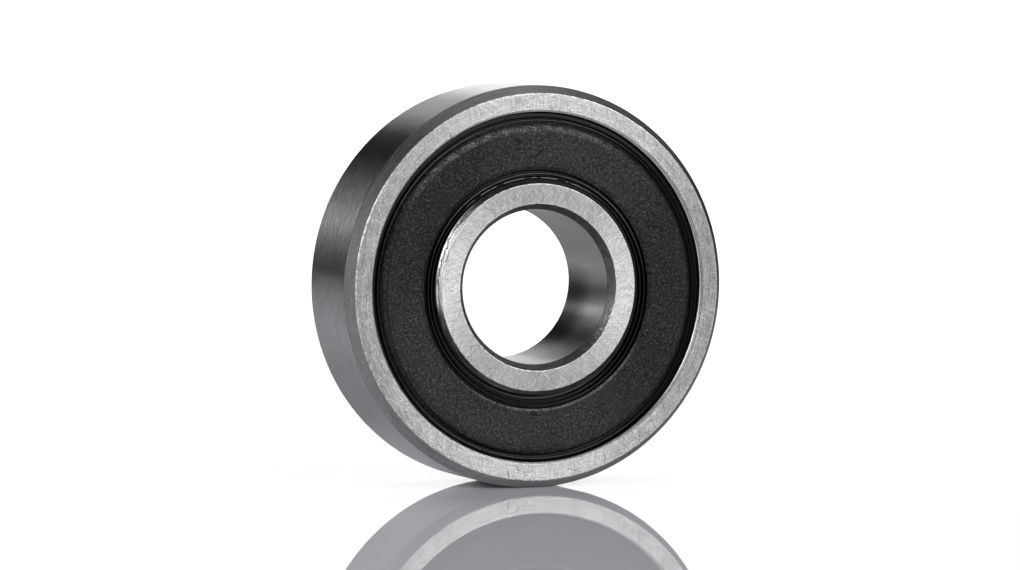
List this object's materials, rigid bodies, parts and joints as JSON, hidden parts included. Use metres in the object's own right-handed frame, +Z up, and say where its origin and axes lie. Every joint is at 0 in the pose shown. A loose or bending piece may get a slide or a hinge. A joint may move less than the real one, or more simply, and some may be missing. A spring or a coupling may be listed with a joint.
{
  "type": "deep groove ball bearing",
  "caption": "Sealed deep groove ball bearing with ground steel rings, black rubber contact seals, a riveted steel ribbon cage and a plain bore; the inner ring spins freely.",
  "frame": {"origin": "middle of the bearing, on its axis and halfway between its two side faces", "axes": "+Y along the bearing's axis, the front face looking along -Y; +Z up, with the bearing standing on its rim; +X to the right as seen from the front"},
  "size_m": [0.026, 0.008, 0.026],
  "materials": {
    "ring_steel": "ground bearing steel, satin, with fine cross scratches on the side faces",
    "ball_steel": "lapped and polished chrome steel",
    "cage_steel": "pressed steel sheet, dull satin",
    "rivet_steel": "upset soft steel, satin",
    "seal_rubber": "matte black nitrile rubber, finely grained",
    "insert_steel": "cold rolled sheet steel, satin"
  },
  "bodies": {
    "outer_ring": {"outer_ring": "ring_steel", "seal_rubber_front": "seal_rubber", "seal_insert_front": "insert_steel", "seal_rubber_rear": "seal_rubber", "seal_insert_rear": "insert_steel"},
    "inner_ring": {"inner_ring": "ring_steel"},
    "cage": {"cage_front": "cage_steel", "cage_rear": "cage_steel", "cage_rivet_1": "rivet_steel", "cage_rivet_2": "rivet_steel", "cage_rivet_3": "rivet_steel", "cage_rivet_4": "rivet_steel", "cage_rivet_5": "rivet_steel", "cage_rivet_6": "rivet_steel", "cage_rivet_7": "rivet_steel"},
    "ball_1": {"ball_1": "ball_steel"},
    "ball_2": {"ball_2": "ball_steel"},
    "ball_3": {"ball_3": "ball_steel"},
    "ball_4": {"ball_4": "ball_steel"},
    "ball_5": {"ball_5": "ball_steel"},
    "ball_6": {"ball_6": "ball_steel"},
    "ball_7": {"ball_7": "ball_steel"}
  },
  "joints": [
    {"name": "inner_ring_spin", "type": "hinge", "parent": "outer_ring", "child": "inner_ring", "pos_m": [0, 0, 0], "axis": [0, 1, 0], "continuous": true},
    {"name": "cage_spin", "type": "hinge", "parent": "outer_ring", "child": "cage", "pos_m": [0, 0, 0], "axis": [0, 1, 0], "continuous": true},
    {"name": "ball_1_spin", "type": "hinge", "parent": "cage", "child": "ball_1", "pos_m": [0, 0, 0.009], "axis": [0, 1, 0], "continuous": true},
    {"name": "ball_2_spin", "type": "hinge", "parent": "cage", "child": "ball_2", "pos_m": [0.00704, 0, 0.00561], "axis": [0, 1, 0], "continuous": true},
    {"name": "ball_3_spin", "type": "hinge", "parent": "cage", "child": "ball_3", "pos_m": [0.00877, 0, -0.002], "axis": [0, 1, 0], "continuous": true},
    {"name": "ball_4_spin", "type": "hinge", "parent": "cage", "child": "ball_4", "pos_m": [0.0039, 0, -0.00811], "axis": [0, 1, 0], "continuous": true},
    {"name": "ball_5_spin", "type": "hinge", "parent": "cage", "child": "ball_5", "pos_m": [-0.0039, 0, -0.00811], "axis": [0, 1, 0], "continuous": true},
    {"name": "ball_6_spin", "type": "hinge", "parent": "cage", "child": "ball_6", "pos_m": [-0.00877, 0, -0.002], "axis": [0, 1, 0], "continuous": true},
    {"name": "ball_7_spin", "type": "hinge", "parent": "cage", "child": "ball_7", "pos_m": [-0.00704, 0, 0.00561], "axis": [0, 1, 0], "continuous": true}
  ],
  "couplings": [
    {"joint": "cage_spin", "follows": "inner_ring_spin", "ratio": 0.36772},
    {"joint": "ball_1_spin", "follows": "inner_ring_spin", "ratio": -1.7577},
    {"joint": "ball_2_spin", "follows": "inner_ring_spin", "ratio": -1.7577},
    {"joint": "ball_3_spin", "follows": "inner_ring_spin", "ratio": -1.7577},
    {"joint": "ball_4_spin", "follows": "inner_ring_spin", "ratio": -1.7577},
    {"joint": "ball_5_spin", "follows": "inner_ring_spin", "ratio": -1.7577},
    {"joint": "ball_6_spin", "follows": "inner_ring_spin", "ratio": -1.7577},
    {"joint": "ball_7_spin", "follows": "inner_ring_spin", "ratio": -1.7577}
  ]
}
